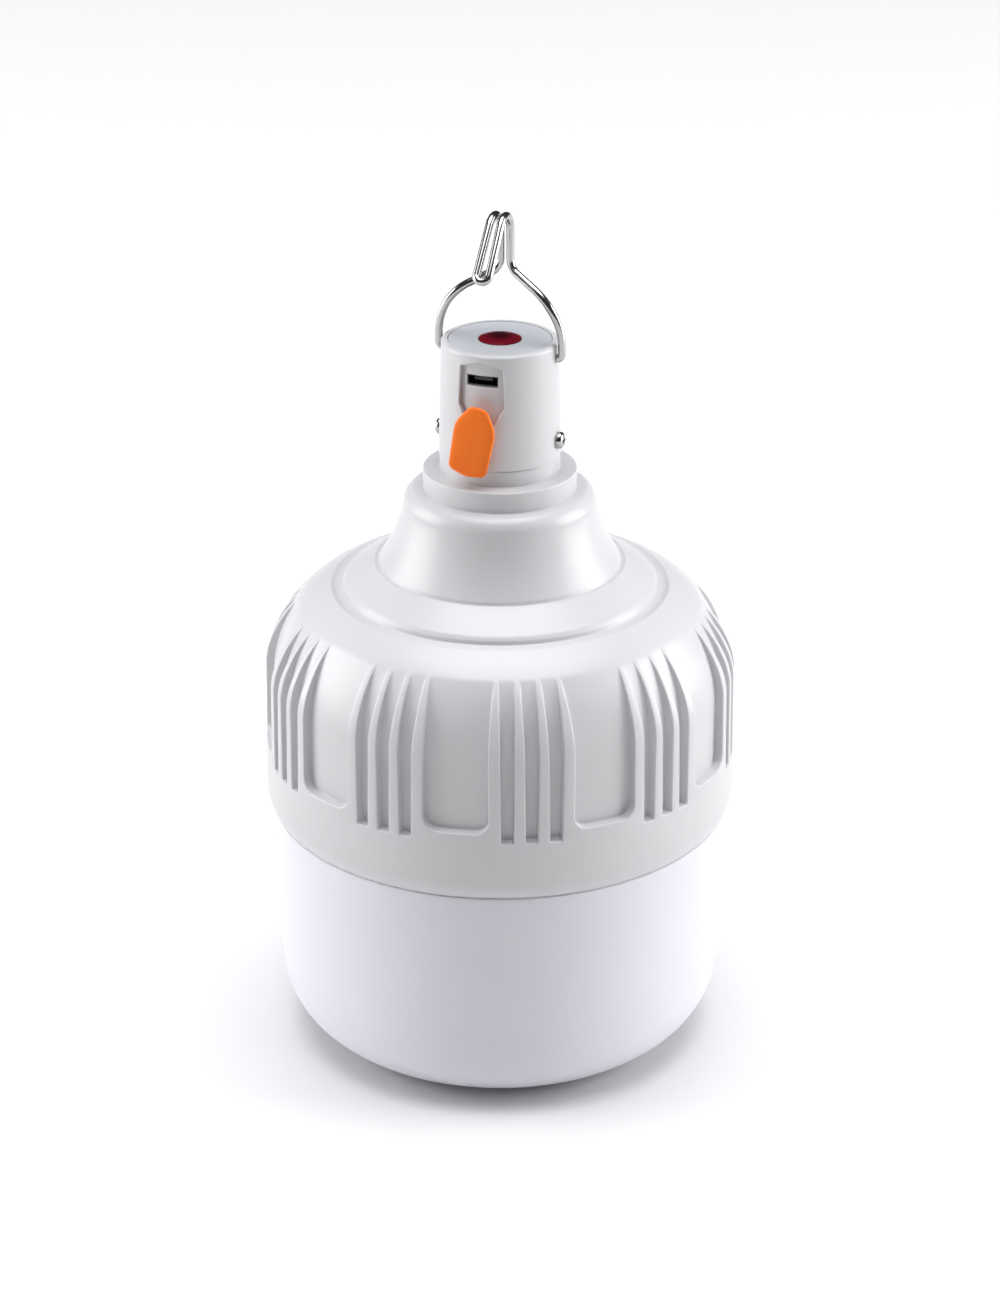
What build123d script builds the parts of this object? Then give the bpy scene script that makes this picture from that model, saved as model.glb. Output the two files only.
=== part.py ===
"""Rechargeable emergency lamp: a wide bulb-shaped lamp with a wire hook on its charging cap.

Units are millimetres. Heights in this file are measured from the rim, the plane where the
diffuser meets the housing. write_node lifts every piece by DIFFUSER_HEIGHT, so the part's origin
is the centre of the diffuser's flat base, with +Z up. The charging port faces -Y.
"""
import os
from math import asin, cos, radians, sin

from build123d import *

# ---------------------------------------------------------------- driving dimensions
DIFFUSER_HEIGHT = 63.0
DIFFUSER_RADIUS = 58.2
DIFFUSER_WALL = 1.6
DIFFUSER_BASE_CORNER = 20.0

HOUSING_RADIUS = 60.0
HOUSING_BORE = 55.2
UNITS = 10                   # groups of fins round the housing
UNIT_ANGLE = 360 / UNITS
GROUP_AZIMUTH = 26.5         # middle of one fin group, from the port towards +X
FIN_PITCH = 5.75             # degrees between fins of one group
SLOTS_PER_GROUP = 3
SLOT_BOTTOM_Z = 15.8
PANEL_BOTTOM_Z = 18.3
PANEL_CORNER = 3.5
RECESS_FLOOR_RADIUS = 57.5

COLLAR_RADIUS = 19.15
COLLAR_TOP_Z = 90.7
COLLAR_EDGE = 0.5
NECK_RADIUS = 15.0
NECK_TOP_Z = 94.9
SPIGOT_RADIUS = 13.55
SPIGOT_BORE = 11.8
SPIGOT_TOP_Z = 104.3

CAP_FOOT_RADIUS = 15.2
CAP_RIM_RADIUS = 14.5
CAP_TOP_Z = 124.2
CAP_BORE = 12.2
DISC_RADIUS = 12.8
DISC_SEAT_Z = 122.7
BOARD_RADIUS = 11.6
BOARD_TOP_Z = 116.2
BOARD_THICKNESS = 1.2
BOARD_UNDERSIDE_Z = BOARD_TOP_Z - BOARD_THICKNESS
WIRE_JACKET = 0.7            # radius of the insulated leads

BUTTON_RADIUS = 5.2
BUTTON_FLANGE_RADIUS = 6.2
BUTTON_UNDERSIDE_Z = 121.5
BUTTON_TOP_Z = 125.2
PLUNGER_RADIUS = 1.7
RUNNING_GAP = 0.06           # radial, for shafts and buttons in their holes

PORT_Z = BOARD_TOP_Z + 1.3    # middle of the charging socket
PORT_WIDTH = 8.0
PORT_HEIGHT = 2.8
PORT_CORNER = 0.2
PORT_RECESS_DEPTH = 1.2
PORT_RECESS_EDGE = 0.3
PLUG_PIN_Z = 108.0
PLUG_STEM_RADIUS = 1.2
PLUG_INNER_FACE = 17.5       # distance of the plug's inner face from the lamp's axis
PLUG_THICKNESS = 1.4
PLUG_CORNER = 1.6
PLUG_EDGE = 0.6
PLUG_TILT = 10.5             # degrees off plumb, foot towards -X

HOOK_Z = 120.5
WIRE_RADIUS = 1.0
SCREW_Z = 99.4

CELL_RADIUS = 9.15
CELL_LENGTH = 65.0
CELL_SPACING = 19.6
CELL_Z = 16.3
PLATE_TOP_Z = 5.5
PLATE_THICKNESS = 1.5
LED_BOARD_RADIUS = 44.0
LED_BOARD_THICKNESS = 1.0


# ---------------------------------------------------------------- helpers
def write_node(name, *solids):
    """Write one node as a STEP file, lifted so that the diffuser's base is at Z = 0."""
    lifted = [Pos(0, 0, DIFFUSER_HEIGHT) * solid for solid in solids]
    node = lifted[0] if len(lifted) == 1 else Compound(children=lifted)
    export_step(node, f"parts/{name}.step")


def cylinder(radius, z_low, z_high):
    """Upright cylinder on the lamp's axis."""
    return Pos(0, 0, z_low) * Cylinder(radius, z_high - z_low, align=(Align.CENTER, Align.CENTER, Align.MIN))


def block(x_low, x_high, y_low, y_high, z_low, z_high):
    """Box between two corners."""
    centre = Pos((x_low + x_high) / 2, (y_low + y_high) / 2, (z_low + z_high) / 2)
    return centre * Box(x_high - x_low, y_high - y_low, z_high - z_low)


def radial_plane(azimuth, distance=0.0, z=0.0):
    """Plane facing outwards at an azimuth from the port: local x runs round the lamp, local y is up."""
    angle = radians(azimuth)
    outward = Vector(sin(angle), -cos(angle), 0)
    return Plane(origin=outward * distance + Vector(0, 0, z), x_dir=(cos(angle), sin(angle), 0), z_dir=outward)


def turned(*edges):
    """Solid of revolution about the lamp's axis from edges that close a profile in (radius, z)."""
    return revolve(Plane.XZ * make_face(Curve() + list(edges)), Axis.Z)


def cap_radius(z):
    """Outer radius of the tapered cap at a height."""
    share = (z - NECK_TOP_Z) / (CAP_TOP_Z - NECK_TOP_Z)
    return CAP_FOOT_RADIUS + (CAP_RIM_RADIUS - CAP_FOOT_RADIUS) * share


def round_wire(radius, points, bends):
    """Wire of round section along straight runs joined by tangent arcs."""
    path = FilletPolyline(*points, radius=bends)
    section = Plane(origin=path @ 0, z_dir=path % 0) * Circle(radius)
    return sweep(section, path=path)


# ---------------------------------------------------------------- housing
def housing_body():
    """Shell from the rim up to the spigot that carries the cap."""
    outside = [
        Line((HOUSING_BORE, 0), (57.9, 0)),
        ThreePointArc((57.9, 0), (59.3, 2.3), (HOUSING_RADIUS, 5.2)),
        Line((HOUSING_RADIUS, 5.2), (59.6, 37.6)),
        ThreePointArc((59.6, 37.6), (58.9, 41.7), (57.3, 45.7)),
        ThreePointArc((57.3, 45.7), (52.4, 52.9), (43.4, 59.2)),
        Line((43.4, 59.2), (42.6, 59.6)),
        ThreePointArc((42.6, 59.6), (41.1, 59.2), (39.8, 59.5)),
        Line((39.8, 59.5), (39.5, 60.5)),
        ThreePointArc((39.5, 60.5), (39.2, 61.0), (38.7, 61.4)),
        Line((38.7, 61.4), (31.5, 65.9)),
        Line((31.5, 65.9), (31.0, 65.6)),
        Line((31.0, 65.6), (30.4, 65.8)),
        Line((30.4, 65.8), (30.1, 66.7)),
        ThreePointArc((30.1, 66.7), (26.3, 73.8), (24.1, 81.4)),
        ThreePointArc((24.1, 81.4), (23.3, 84.0), (21.5, 85.4)),
        Line((21.5, 85.4), (COLLAR_RADIUS, 85.4)),
        Line((COLLAR_RADIUS, 85.4), (COLLAR_RADIUS, COLLAR_TOP_Z - COLLAR_EDGE)),
        ThreePointArc(
            (COLLAR_RADIUS, COLLAR_TOP_Z - COLLAR_EDGE),
            (COLLAR_RADIUS - 0.3 * COLLAR_EDGE, COLLAR_TOP_Z - 0.3 * COLLAR_EDGE),
            (COLLAR_RADIUS - COLLAR_EDGE, COLLAR_TOP_Z),
        ),
        Line((COLLAR_RADIUS - COLLAR_EDGE, COLLAR_TOP_Z), (NECK_RADIUS, COLLAR_TOP_Z)),
        Line((NECK_RADIUS, COLLAR_TOP_Z), (NECK_RADIUS, NECK_TOP_Z - 0.15)),
        Line((NECK_RADIUS, NECK_TOP_Z - 0.15), (NECK_RADIUS - 0.15, NECK_TOP_Z)),
        Line((NECK_RADIUS - 0.15, NECK_TOP_Z), (SPIGOT_RADIUS, NECK_TOP_Z)),
        Line((SPIGOT_RADIUS, NECK_TOP_Z), (SPIGOT_RADIUS, SPIGOT_TOP_Z)),
        Line((SPIGOT_RADIUS, SPIGOT_TOP_Z), (SPIGOT_BORE, SPIGOT_TOP_Z)),
    ]
    inside = [
        Line((SPIGOT_BORE, SPIGOT_TOP_Z), (SPIGOT_BORE, 88.0)),
        Line((SPIGOT_BORE, 88.0), (19.0, 83.0)),
        ThreePointArc((19.0, 83.0), (22.9, 72.5), (28.5, 63.0)),
        Line((28.5, 63.0), (37.5, 57.0)),
        ThreePointArc((37.5, 57.0), (49.0, 49.5), (53.0, 36.0)),
        Line((53.0, 36.0), (53.0, PLATE_TOP_Z)),
        Line((53.0, PLATE_TOP_Z), (HOUSING_BORE, PLATE_TOP_Z)),
        Line((HOUSING_BORE, PLATE_TOP_Z), (HOUSING_BORE, 0)),
    ]
    return turned(*outside, *inside)


def recess_ring():
    """Everything outside the floor of the recesses; it leaves the dome where the fins run out."""
    top = (50.3, 54.9)
    return turned(
        Line((RECESS_FLOOR_RADIUS, 12.0), (RECESS_FLOOR_RADIUS, 36.0)),
        ThreePointArc((RECESS_FLOOR_RADIUS, 36.0), (55.3, 46.4), top),
        Line(top, (70.0, top[1])),
        Line((70.0, top[1]), (70.0, 12.0)),
        Line((70.0, 12.0), (RECESS_FLOOR_RADIUS, 12.0)),
    )


def recess_prism(azimuth, z_low, half_low, half_high, corner=0.0):
    """Radial prism with a tapered outline, for one recess."""
    z_high = 60.0
    outline = Polyline(
        (-half_low, z_low), (half_low, z_low), (half_high, z_high), (-half_high, z_high), close=True
    )
    face = make_face(outline)
    if corner:
        lower = face.vertices().sort_by(Axis.Y)[:2]
        face = fillet(lower, corner)
    return extrude(radial_plane(azimuth, 44.0) * face, 24.0)


def recesses():
    """Three slots between the four fins of each group, and a wide panel between groups."""
    cuts = []
    for unit in range(UNITS):
        group = GROUP_AZIMUTH + unit * UNIT_ANGLE
        cuts.append(recess_prism(group + UNIT_ANGLE / 2, PANEL_BOTTOM_Z, 8.1, 7.8, PANEL_CORNER))
        for slot in range(SLOTS_PER_GROUP):
            azimuth = group + (slot - 1) * FIN_PITCH
            cuts.append(recess_prism(azimuth, SLOT_BOTTOM_Z, 1.5, 2.0))
    return [recess_ring() & cut for cut in cuts]


def plate_boss(azimuth):
    """Post in the housing that takes one screw of the lamp plate."""
    post = Pos(0, 0, PLATE_TOP_Z) * Cylinder(3.5, 9, align=(Align.CENTER, Align.CENTER, Align.MIN))
    pilot = Pos(0, 0, PLATE_TOP_Z) * Cylinder(1.3, 7, align=(Align.CENTER, Align.CENTER, Align.MIN))
    place = Rot(0, 0, azimuth) * Pos(50.2, 0, 0)
    return place * post, place * pilot


def housing():
    """Finned housing with screw bosses inside and pilot holes for the cap screws."""
    body = housing_body()
    for cut in recesses():
        body -= cut
    for azimuth in (30, 150, 270):
        post, pilot = plate_boss(azimuth)
        body += post
        body -= pilot
    for azimuth in (90, 270):
        body -= extrude(radial_plane(azimuth, 10.0, SCREW_Z) * Circle(1.05), 5.0)
    return body


# ---------------------------------------------------------------- diffuser
def diffuser():
    """Milky bowl with a lip that plugs into the housing."""
    base = -DIFFUSER_HEIGHT
    foot = DIFFUSER_RADIUS - 1.2
    corner = DIFFUSER_BASE_CORNER
    flat = foot - corner
    arc_middle = (flat + corner * sin(radians(45)), base + corner * (1 - sin(radians(45))))
    inner_corner = corner - DIFFUSER_WALL
    inner_middle = (flat + inner_corner * sin(radians(45)), base + corner - inner_corner * sin(radians(45)))
    lip_out = HOUSING_BORE - 0.15
    lip_in = lip_out - 1.6
    return turned(
        Line((0, base), (flat, base)),
        ThreePointArc((flat, base), arc_middle, (foot, base + corner)),
        Line((foot, base + corner), (DIFFUSER_RADIUS, -0.2)),
        Line((DIFFUSER_RADIUS, -0.2), (DIFFUSER_RADIUS - 0.2, 0)),
        Line((DIFFUSER_RADIUS - 0.2, 0), (lip_out, 0)),
        Line((lip_out, 0), (lip_out, 1.8)),
        Line((lip_out, 1.8), (lip_in, 1.8)),
        Line((lip_in, 1.8), (lip_in, -2.0)),
        Line((lip_in, -2.0), (DIFFUSER_RADIUS - DIFFUSER_WALL, -3.6)),
        Line((DIFFUSER_RADIUS - DIFFUSER_WALL, -3.6), (foot - DIFFUSER_WALL, base + corner)),
        ThreePointArc((foot - DIFFUSER_WALL, base + corner), inner_middle, (flat, base + DIFFUSER_WALL)),
        Line((flat, base + DIFFUSER_WALL), (0, base + DIFFUSER_WALL)),
        Line((0, base + DIFFUSER_WALL), (0, base)),
    )


# ---------------------------------------------------------------- charging cap
def cap_blank():
    """Tapered tube with a seat for the disc, a board shelf and a socket for the spigot."""
    socket = SPIGOT_RADIUS + 0.05
    shelf_top = BOARD_UNDERSIDE_Z
    return turned(
        Line((socket, NECK_TOP_Z), (CAP_FOOT_RADIUS - 0.15, NECK_TOP_Z)),
        Line((CAP_FOOT_RADIUS - 0.15, NECK_TOP_Z), (CAP_FOOT_RADIUS, NECK_TOP_Z + 0.15)),
        Line((CAP_FOOT_RADIUS, NECK_TOP_Z + 0.15), (CAP_RIM_RADIUS, CAP_TOP_Z - 0.8)),
        ThreePointArc(
            (CAP_RIM_RADIUS, CAP_TOP_Z - 0.8),
            (CAP_RIM_RADIUS - 0.23, CAP_TOP_Z - 0.23),
            (CAP_RIM_RADIUS - 0.8, CAP_TOP_Z),
        ),
        Line((CAP_RIM_RADIUS - 0.8, CAP_TOP_Z), (DISC_RADIUS + 0.08, CAP_TOP_Z)),
        Line((DISC_RADIUS + 0.08, CAP_TOP_Z), (DISC_RADIUS + 0.08, DISC_SEAT_Z)),
        Line((DISC_RADIUS + 0.08, DISC_SEAT_Z), (CAP_BORE, DISC_SEAT_Z)),
        Line((CAP_BORE, DISC_SEAT_Z), (CAP_BORE, shelf_top)),
        Line((CAP_BORE, shelf_top), (10.8, shelf_top)),
        Line((10.8, shelf_top), (10.8, shelf_top - 1.0)),
        Line((10.8, shelf_top - 1.0), (CAP_BORE, shelf_top - 2.4)),
        Line((CAP_BORE, shelf_top - 2.4), (CAP_BORE, SPIGOT_TOP_Z)),
        Line((CAP_BORE, SPIGOT_TOP_Z), (socket, SPIGOT_TOP_Z)),
        Line((socket, SPIGOT_TOP_Z), (socket, NECK_TOP_Z)),
    )


def shield_face():
    """Outline of the recess that the closed plug lies over, on a plane through the pin."""
    outline = Polyline(
        (0, 14.6), (-5.4, 13.0), (-5.8, 3.2), (-1.8, -4.3), (1.8, -4.3), (5.7, 3.2), (5.3, 13.0), close=True
    )
    face = make_face(outline)
    return fillet(face.vertices(), 0.6)


def on_recess_mouth(edge):
    """True for the recess's edges on the cap's outer face."""
    middle = edge.position_at(0.5)
    on_front = middle.Y < -10 and abs(middle.X) < 7 and 103 < middle.Z < 123
    return on_front and Vector(middle.X, middle.Y).length > cap_radius(middle.Z) - 0.1


def cap_shell():
    """Cap with the port recess, the hook's bores, the plug's bore and the screw holes."""
    body = cap_blank()
    floor_low = (cap_radius(90) - PORT_RECESS_DEPTH, 90)
    floor_high = (cap_radius(CAP_TOP_Z) - PORT_RECESS_DEPTH, CAP_TOP_Z)
    outside = turned(
        Line(floor_low, floor_high),
        Line(floor_high, (30, CAP_TOP_Z)),
        Line((30, CAP_TOP_Z), (30, 90)),
        Line((30, 90), floor_low),
    )
    body -= extrude(radial_plane(0, 5.0, PLUG_PIN_Z) * shield_face(), 20.0) & outside
    mouth = [edge for edge in body.edges() if on_recess_mouth(edge)]
    body = fillet(mouth, PORT_RECESS_EDGE)
    port = fillet(Rectangle(PORT_WIDTH, PORT_HEIGHT).vertices(), PORT_CORNER)
    body -= extrude(radial_plane(0, 8.0, PORT_Z) * port, 10.0)
    body -= extrude(radial_plane(0, 8.0, PLUG_PIN_Z) * Circle(PLUG_STEM_RADIUS + RUNNING_GAP), 10.0)
    for azimuth in (90, 270):
        body -= extrude(radial_plane(azimuth, 9.0, HOOK_Z) * Circle(WIRE_RADIUS + RUNNING_GAP), 10.0)
        body -= extrude(radial_plane(azimuth, 11.0, SCREW_Z) * Circle(1.05), 8.0)
    return body


def cap_top_disc():
    """Flat plate let into the cap's rim, with the button's hole."""
    disc = cylinder(DISC_RADIUS, DISC_SEAT_Z, CAP_TOP_Z - 0.05)
    disc -= cylinder(BUTTON_RADIUS + RUNNING_GAP, DISC_SEAT_Z - 1, CAP_TOP_Z + 1)
    return disc


def cap_screw(azimuth):
    """Pan-head screw through the cap into the spigot."""
    seat = cap_radius(SCREW_Z - 2.0)
    head = extrude(radial_plane(azimuth, seat, SCREW_Z) * Circle(2.1), 1.5)
    head = fillet(outer_rim(head, azimuth), 1.0)
    cross = radial_plane(azimuth, seat + 0.8, SCREW_Z)
    head -= extrude(cross * Rectangle(2.1, 0.5), 2.0)
    head -= extrude(cross * Rectangle(0.5, 2.1), 2.0)
    shank = extrude(radial_plane(azimuth, SPIGOT_BORE - 0.6, SCREW_Z) * Circle(1.0), seat - SPIGOT_BORE + 0.7)
    return head + shank


def outer_rim(head, azimuth):
    """Circular edge of a screw head that is farthest from the lamp's axis."""
    axis = Axis((0, 0, SCREW_Z), radial_plane(azimuth).z_dir)
    return head.edges().filter_by(GeomType.CIRCLE).sort_by(axis)[-1:]


# ---------------------------------------------------------------- push button
def push_button():
    """Domed button with a flange that keeps it under the disc."""
    dome_height = BUTTON_TOP_Z - CAP_TOP_Z
    dome_radius = (BUTTON_RADIUS**2 + dome_height**2) / (2 * dome_height)
    half_angle = asin(BUTTON_RADIUS / dome_radius) / 2
    dome_middle = (dome_radius * sin(half_angle), BUTTON_TOP_Z - dome_radius * (1 - cos(half_angle)))
    return turned(
        Line((0, BUTTON_UNDERSIDE_Z), (BUTTON_FLANGE_RADIUS, BUTTON_UNDERSIDE_Z)),
        Line((BUTTON_FLANGE_RADIUS, BUTTON_UNDERSIDE_Z), (BUTTON_FLANGE_RADIUS, DISC_SEAT_Z - 0.3)),
        Line((BUTTON_FLANGE_RADIUS, DISC_SEAT_Z - 0.3), (BUTTON_RADIUS, DISC_SEAT_Z - 0.3)),
        Line((BUTTON_RADIUS, DISC_SEAT_Z - 0.3), (BUTTON_RADIUS, CAP_TOP_Z)),
        ThreePointArc((BUTTON_RADIUS, CAP_TOP_Z), dome_middle, (0, BUTTON_TOP_Z)),
        Line((0, BUTTON_TOP_Z), (0, BUTTON_UNDERSIDE_Z)),
    )


def tact_plunger():
    """Stem of the switch, carried down by the button."""
    return cylinder(PLUNGER_RADIUS, BOARD_TOP_Z + 1.8, BUTTON_UNDERSIDE_Z)


# ---------------------------------------------------------------- hanging hook
def hanging_hook():
    """One bent wire: two pivots, two arms, a neck and a doubled hook with a round tip."""
    half = [
        (12.6, 0.0, HOOK_Z),
        (15.9, 0.0, HOOK_Z),
        (15.9, 0.0, 127.3),
        (12.4, -0.8, 135.1),
        (1.25, 4.2, 140.8),
        (1.25, 4.1, 162.6),
        (1.6, -13.7, 142.8),
    ]
    bends = [1.25, 16.0, 11.5, 3.9, 4.6, 1.55]
    mirrored = [(-x, y, z) for x, y, z in reversed(half)]
    return round_wire(WIRE_RADIUS, half + mirrored, bends + bends[::-1])


# ---------------------------------------------------------------- port plug
def port_plug():
    """Rubber plug that swivels on its stem, shown hanging open."""
    outline = Polyline(
        (0, -14.1), (-4.9, -12.9), (-5.3, -0.8), (-2.1, 4.3), (2.1, 4.3), (5.3, -0.8), (4.9, -12.9), close=True
    )
    face = make_face(outline)
    face = fillet(face.vertices(), PLUG_CORNER)
    local = Plane(origin=(0, 0, 0), x_dir=(1, 0, 0), z_dir=(0, -1, 0))
    plate = extrude(local.offset(PLUG_INNER_FACE) * face, PLUG_THICKNESS)
    plate = fillet(plate.edges().group_by(Axis.Y)[0], PLUG_EDGE)
    tongue = extrude(local.offset(PLUG_INNER_FACE - 2.0) * Pos(0, PLUG_PIN_Z - PORT_Z) * Rectangle(6.8, 1.8), 2.1)
    stem = extrude(local.offset(10.7) * Circle(PLUG_STEM_RADIUS), PLUG_INNER_FACE - 10.6)
    barb = extrude(local.offset(10.7) * Circle(1.9), 0.9)
    plug = plate + tongue + stem + barb
    return Pos(0, 0, PLUG_PIN_Z) * Rot(0, PLUG_TILT, 0) * plug


# ---------------------------------------------------------------- charging socket and board
def usb_shell():
    """Folded metal shell of the socket."""
    outer = extrude(radial_plane(0, 7.8, PORT_Z) * Rectangle(7.9, 2.6), 4.9)
    inner = extrude(radial_plane(0, 7.0, PORT_Z) * Rectangle(7.5, 2.2), 8.0)
    return outer - inner


def usb_tongue():
    """Plastic insert: a block that closes the shell's back, and the contact tongue."""
    back = extrude(radial_plane(0, 7.8, PORT_Z) * Rectangle(7.5, 2.2), 1.2)
    tongue = extrude(radial_plane(0, 8.9, PORT_Z + 0.3) * Rectangle(4.6, 0.8), 3.2)
    return back + tongue


def usb_contacts():
    """Five flat contacts under the tongue."""
    return [
        extrude(radial_plane(0, 9.0, PORT_Z - 0.15) * Pos(0.65 * i, 0) * Rectangle(0.35, 0.1), 2.8)
        for i in range(-2, 3)
    ]


def control_board():
    """Round charging board on the cap's shelf."""
    return cylinder(BOARD_RADIUS, BOARD_UNDERSIDE_Z, BOARD_TOP_Z)


def tact_switch():
    """Switch body with a blind hole for its plunger."""
    body = block(-3.1, 3.1, -3.1, 3.1, BOARD_TOP_Z, BOARD_TOP_Z + 2.6)
    return body - cylinder(PLUNGER_RADIUS + RUNNING_GAP, BOARD_TOP_Z + 0.7, BOARD_TOP_Z + 3)


def capacitors():
    """Four chip capacitors under the board."""
    z_high = BOARD_UNDERSIDE_Z
    places = [(5.5, 3.0), (5.5, 5.5), (-6.0, 4.5), (-6.0, 6.5)]
    return [block(x - 1.0, x + 1.0, y - 0.6, y + 0.6, z_high - 1.1, z_high) for x, y in places]


# ---------------------------------------------------------------- battery
def battery_cell(y):
    """Cylindrical cell lying along X, with its raised terminal towards +X."""
    can = Pos(-0.5, y, CELL_Z) * Rot(0, 90, 0) * Cylinder(CELL_RADIUS, CELL_LENGTH - 1)
    nub = Pos(CELL_LENGTH / 2 - 0.5, y, CELL_Z) * Rot(0, 90, 0) * Cylinder(3.0, 1.0)
    return can + nub


def nickel_strip(side):
    """Strip that joins both cells at one end."""
    x = side * CELL_LENGTH / 2
    return block(min(x, x + side * 0.3), max(x, x + side * 0.3), -13.5, 13.5, CELL_Z - 3.5, CELL_Z + 3.5)


def battery_tray():
    """Cradle for the two cells, with two screw ears."""
    tray = block(-35.0, 35.0, -20.5, 20.5, PLATE_TOP_Z, 15.5)
    for y in (-CELL_SPACING / 2, CELL_SPACING / 2):
        tray -= Pos(0, y, CELL_Z) * Rot(0, 90, 0) * Cylinder(CELL_RADIUS + 0.1, 66.4)
    tray -= block(-33.2, 33.2, -14.0, 14.0, CELL_Z - 4.0, 20.0)
    for side in (-1, 1):
        ear = block(34.0, 41.0, -4.5, 4.5, PLATE_TOP_Z, 7.5)
        ear -= Pos(38.0, 0, 0) * cylinder(1.3, 0, 10)
        tray += Rot(0, 0, 90 - 90 * side) * ear
    return tray


def battery_strap():
    """Band over both cells, standing on the tray's side walls."""
    half = CELL_SPACING / 2
    outer = CELL_RADIUS + 0.8
    inner = CELL_RADIUS + 0.1
    band = block(-8, 8, -half, half, CELL_Z, CELL_Z + outer)
    hollow = block(-9, 9, -half, half, CELL_Z - 1, CELL_Z + inner)
    for y in (-half, half):
        band += Pos(0, y, CELL_Z) * Rot(0, 90, 0) * Cylinder(outer, 16)
        hollow += Pos(0, y, CELL_Z) * Rot(0, 90, 0) * Cylinder(inner, 18)
    band = band - hollow
    return band - block(-10, 10, -30, 30, 0, 15.5)


# ---------------------------------------------------------------- lamp plate and emitters
def led_plate():
    """Aluminium disc that carries the light board below and the battery above."""
    plate = cylinder(54.9, PLATE_TOP_Z - PLATE_THICKNESS, PLATE_TOP_Z)
    for azimuth in (30, 150, 270):
        plate -= Rot(0, 0, azimuth) * Pos(50.2, 0, 0) * cylinder(1.5, 0, 10)
    for x in (-38.0, 38.0):
        plate -= Pos(x, 0, 0) * cylinder(1.1, 0, 10)
    return plate - Pos(0, 30, 0) * cylinder(3.0, 0, 10)


def led_board():
    """White light board under the plate, with a wire hole."""
    top = PLATE_TOP_Z - PLATE_THICKNESS
    board = cylinder(LED_BOARD_RADIUS, top - LED_BOARD_THICKNESS, top)
    return board - Pos(0, 30, 0) * cylinder(3.0, 0, 10)


def led_emitters():
    """Rings of chip emitters under the light board."""
    z_high = PLATE_TOP_Z - PLATE_THICKNESS - LED_BOARD_THICKNESS
    chips = []
    for ring_radius, count in ((12, 6), (24, 12), (38, 18)):
        for index in range(count):
            chip = block(ring_radius - 1.4, ring_radius + 1.4, -1.75, 1.75, z_high - 0.8, z_high)
            chips.append(Rot(0, 0, index * 360 / count) * chip)
    return chips


def pan_screw(x, y, z_head, shank_length, head_up):
    """Small pan-head screw standing on Z, with its head on z_head."""
    direction = 1 if head_up else -1
    head = Pos(x, y, z_head + direction * 0.7) * Cylinder(2.3, 1.4)
    shank = Pos(x, y, z_head - direction * (shank_length / 2 - 0.05)) * Cylinder(1.05, shank_length + 0.1)
    return head + shank


def plate_screws():
    """Screws that hold the plate to the housing's bosses."""
    screws = []
    for azimuth in (30, 150, 270):
        angle = radians(azimuth)
        x, y = 50.2 * cos(angle), 50.2 * sin(angle)
        screws.append(pan_screw(x, y, PLATE_TOP_Z - PLATE_THICKNESS, 7.0, head_up=False))
    return screws


def tray_screws():
    """Screws through the tray's ears into the plate."""
    return [pan_screw(x, 0, 7.5, 3.2, head_up=True) for x in (-38.0, 38.0)]


# ---------------------------------------------------------------- wires

def battery_lead(side):
    """Lead from the board down the neck to the end of the cells."""
    end_x = side * (CELL_LENGTH / 2 + 0.3 + WIRE_JACKET)
    points = [
        (side * 2.5, 2.0, BOARD_UNDERSIDE_Z),
        (side * 2.5, 2.0, 70.0),
        (side * 12.0, 2.0, 45.0),
        (end_x, 2.0, 38.0),
        (end_x, 2.0, 17.0),
    ]
    return round_wire(WIRE_JACKET, points, [12.0, 10.0, 5.0])


def light_lead(side):
    """Lead from the board down the neck and behind the cells to the light board."""
    points = [
        (side * 2.5, 6.0, BOARD_UNDERSIDE_Z),
        (side * 2.5, 6.0, 70.0),
        (side * 1.2, 22.0, 45.0),
        (side * 1.2, 30.0, 30.0),
        (side * 1.2, 30.0, PLATE_TOP_Z - PLATE_THICKNESS),
    ]
    return round_wire(WIRE_JACKET, points, [12.0, 12.0, 10.0])


# ---------------------------------------------------------------- the whole lamp
os.makedirs("parts", exist_ok=True)

write_node("housing", housing())
write_node("diffuser", diffuser())
write_node("cap_shell", cap_shell())
write_node("cap_top_disc", cap_top_disc())
write_node("cap_screws", cap_screw(90), cap_screw(270))
write_node("push_button", push_button())
write_node("tact_plunger", tact_plunger())
write_node("hanging_hook", hanging_hook())
write_node("port_plug", port_plug())
write_node("usb_shell", usb_shell())
write_node("usb_tongue", usb_tongue())
write_node("usb_contacts", *usb_contacts())
write_node("control_board", control_board())
write_node("tact_switch", tact_switch())
write_node("charge_led", block(5.5, 8.1, 1.5, 3.1, BOARD_TOP_Z, BOARD_TOP_Z + 1.2))
write_node("charge_ic", block(-2.0, 2.0, -6.5, -1.5, BOARD_UNDERSIDE_Z - 1.5, BOARD_UNDERSIDE_Z))
write_node("inductor", Pos(6.5, -3.5, 0) * cylinder(2.6, BOARD_UNDERSIDE_Z - 2.8, BOARD_UNDERSIDE_Z))
write_node("capacitors", *capacitors())
write_node("battery_cell_front", battery_cell(-CELL_SPACING / 2))
write_node("battery_cell_rear", battery_cell(CELL_SPACING / 2))
write_node("nickel_strip_left", nickel_strip(-1))
write_node("nickel_strip_right", nickel_strip(1))
write_node("battery_tray", battery_tray())
write_node("battery_strap", battery_strap())
write_node("tray_screws", *tray_screws())
write_node("led_plate", led_plate())
write_node("led_board", led_board())
write_node("led_emitters", *led_emitters())
write_node("plate_screws", *plate_screws())
write_node("battery_lead_positive", battery_lead(1))
write_node("battery_lead_negative", battery_lead(-1))
write_node("light_lead_positive", light_lead(1))
write_node("light_lead_negative", light_lead(-1))
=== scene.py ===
from math import asin, atan2, cos, hypot, pi, radians, sin, sqrt, tan

import bmesh
import bpy
from mathutils import Matrix, Vector


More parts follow.
